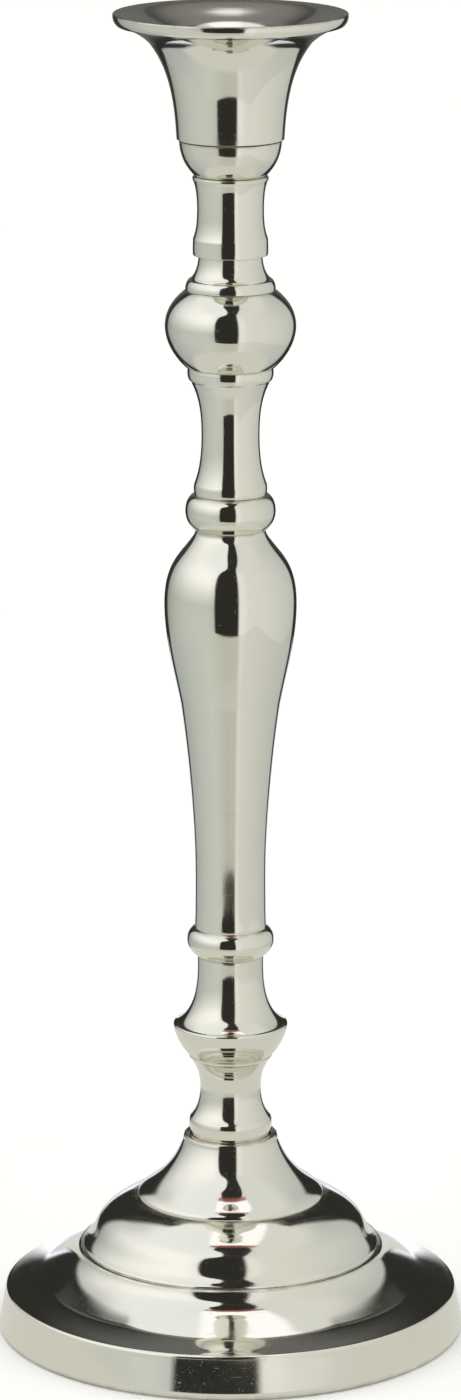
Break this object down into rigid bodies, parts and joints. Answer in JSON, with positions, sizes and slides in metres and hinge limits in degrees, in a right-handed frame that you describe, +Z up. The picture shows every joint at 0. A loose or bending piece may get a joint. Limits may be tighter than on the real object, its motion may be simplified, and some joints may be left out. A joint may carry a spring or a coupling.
{
  "type": "altar candlestick",
  "caption": "Tall turned candlestick for an altar: stepped round foot, baluster stem with knops and beads, and a flared cup that unscrews.",
  "frame": {"origin": "centre of the felt's underside, on the surface that the candlestick stands on", "axes": "+Z up along the turned axis, towards the candle; X and Y are free, as the shape is round"},
  "size_m": [0.1236, 0.1236, 0.3505],
  "materials": {
    "polished_nickel": "polished",
    "zinc_steel": "zinc plated",
    "green_felt": "felt",
    "fibre_board": "pressed board",
    "fibre_washer": "vulcanised fibre"
  },
  "bodies": {
    "stem": {"felt_pad": "green_felt", "closing_disc": "fibre_board", "foot_base": "polished_nickel", "backing_plate": "zinc_steel", "plain_washer": "zinc_steel", "spring_washer": "zinc_steel", "clamp_nut": "zinc_steel", "tie_rod": "zinc_steel", "foot_dome": "polished_nickel", "foot_trumpet": "polished_nickel", "lower_neck": "polished_nickel", "reel": "polished_nickel", "lower_bead": "polished_nickel", "baluster": "polished_nickel", "upper_bead": "polished_nickel", "upper_neck": "polished_nickel", "ball_knop": "polished_nickel", "knop_cap": "polished_nickel", "neck_collar": "polished_nickel", "cup_bowl": "polished_nickel", "lock_nut": "zinc_steel"},
    "washer": {"cup_washer": "fibre_washer"},
    "cup": {"candle_cup": "polished_nickel"}
  },
  "joints": [
    {"name": "cup_rise", "type": "slide", "parent": "stem", "child": "washer", "axis": [0, 0, 1], "range_m": [0, 0.0063]},
    {"name": "cup_turn", "type": "hinge", "parent": "washer", "child": "cup", "pos_m": [0, 0, 0.3184], "axis": [0, 0, 1], "range_deg": [0, 1800]}
  ],
  "couplings": [
    {"joint": "cup_rise", "follows": "cup_turn", "m_per_rad": 0.00019894}
  ]
}
